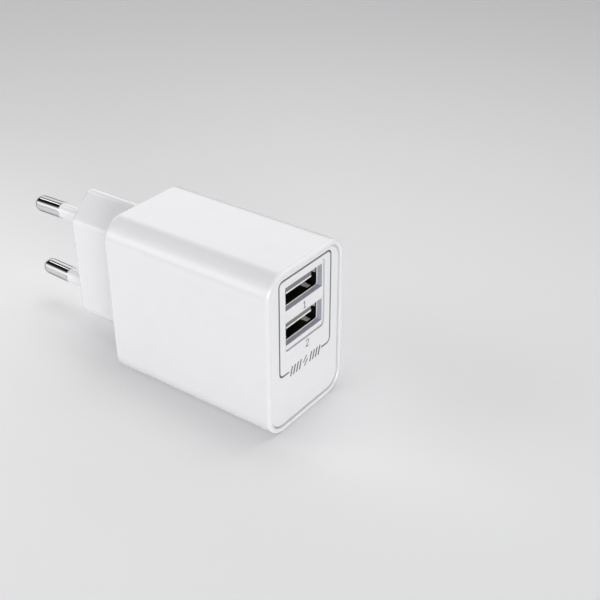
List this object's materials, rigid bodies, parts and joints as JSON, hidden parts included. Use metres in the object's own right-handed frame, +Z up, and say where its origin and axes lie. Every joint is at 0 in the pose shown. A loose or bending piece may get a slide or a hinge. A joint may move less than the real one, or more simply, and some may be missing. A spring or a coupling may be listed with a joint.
{
  "type": "usb wall charger",
  "caption": "White wall charger with a flat Europlug on the back and stacked USB-A sockets framed by a thin grey line on the front, standing on its narrow side.",
  "frame": {"origin": "centre of the whole object's box in X and Y, on the face that the charger stands on", "axes": "+Z up as the charger stands on its narrow side, -Y out of the USB face, +Y along the plug pins, X across the width"},
  "size_m": [0.027, 0.0816, 0.0394],
  "materials": {
    "white_case": "smooth semi-gloss moulded polycarbonate",
    "grey_ink": "matt grey print set into the face",
    "nickel": "nickel-plated sheet, satin",
    "socket_insulator": "satin moulded insulator",
    "gold_contact": "gold flash, smooth",
    "chrome_pin": "bright nickel plate over brass, mirror",
    "pin_sleeve": "satin moulded sleeve",
    "bronze_spring": "bare phosphor bronze, satin",
    "circuit_board": "green solder mask",
    "black_moulding": "matt black moulding",
    "ferrite": "sintered dark grey, matt",
    "winding_tape": "yellow polyester tape over copper wire",
    "capacitor_can": "dark sleeve over an aluminium can",
    "blue_ceramic": "blue dipped ceramic",
    "resistor_body": "grey-green lacquered body",
    "clear_film": "clear polyester film"
  },
  "bodies": {
    "root": {"case_shell": "white_case", "front_panel": "white_case", "rear_plug_cover": "white_case", "panel_outline_inlay": "grey_ink", "usb_shell_upper": "nickel", "usb_tongue_upper": "socket_insulator", "usb_contact_upper_1": "gold_contact", "usb_contact_upper_2": "gold_contact", "usb_contact_upper_3": "gold_contact", "usb_contact_upper_4": "gold_contact", "plug_pin_upper": "chrome_pin", "pin_sleeve_upper": "pin_sleeve", "pin_spring_upper": "bronze_spring", "usb_shell_lower": "nickel", "usb_tongue_lower": "socket_insulator", "usb_contact_lower_1": "gold_contact", "usb_contact_lower_2": "gold_contact", "usb_contact_lower_3": "gold_contact", "usb_contact_lower_4": "gold_contact", "plug_pin_lower": "chrome_pin", "pin_sleeve_lower": "pin_sleeve", "pin_spring_lower": "bronze_spring", "main_board": "circuit_board", "usb_board": "circuit_board", "link_header": "black_moulding", "transformer_core_front": "ferrite", "transformer_core_rear": "ferrite", "transformer_bobbin": "black_moulding", "transformer_winding": "winding_tape", "mains_capacitor_1": "capacitor_can", "output_capacitor_1": "capacitor_can", "mains_capacitor_2": "capacitor_can", "output_capacitor_2": "capacitor_can", "y_capacitor": "blue_ceramic", "fuse_resistor": "resistor_body", "input_inductor": "ferrite", "controller_chip": "black_moulding", "bridge_rectifier": "black_moulding", "output_diode": "black_moulding", "insulation_sheet": "clear_film"}
  },
  "joints": []
}
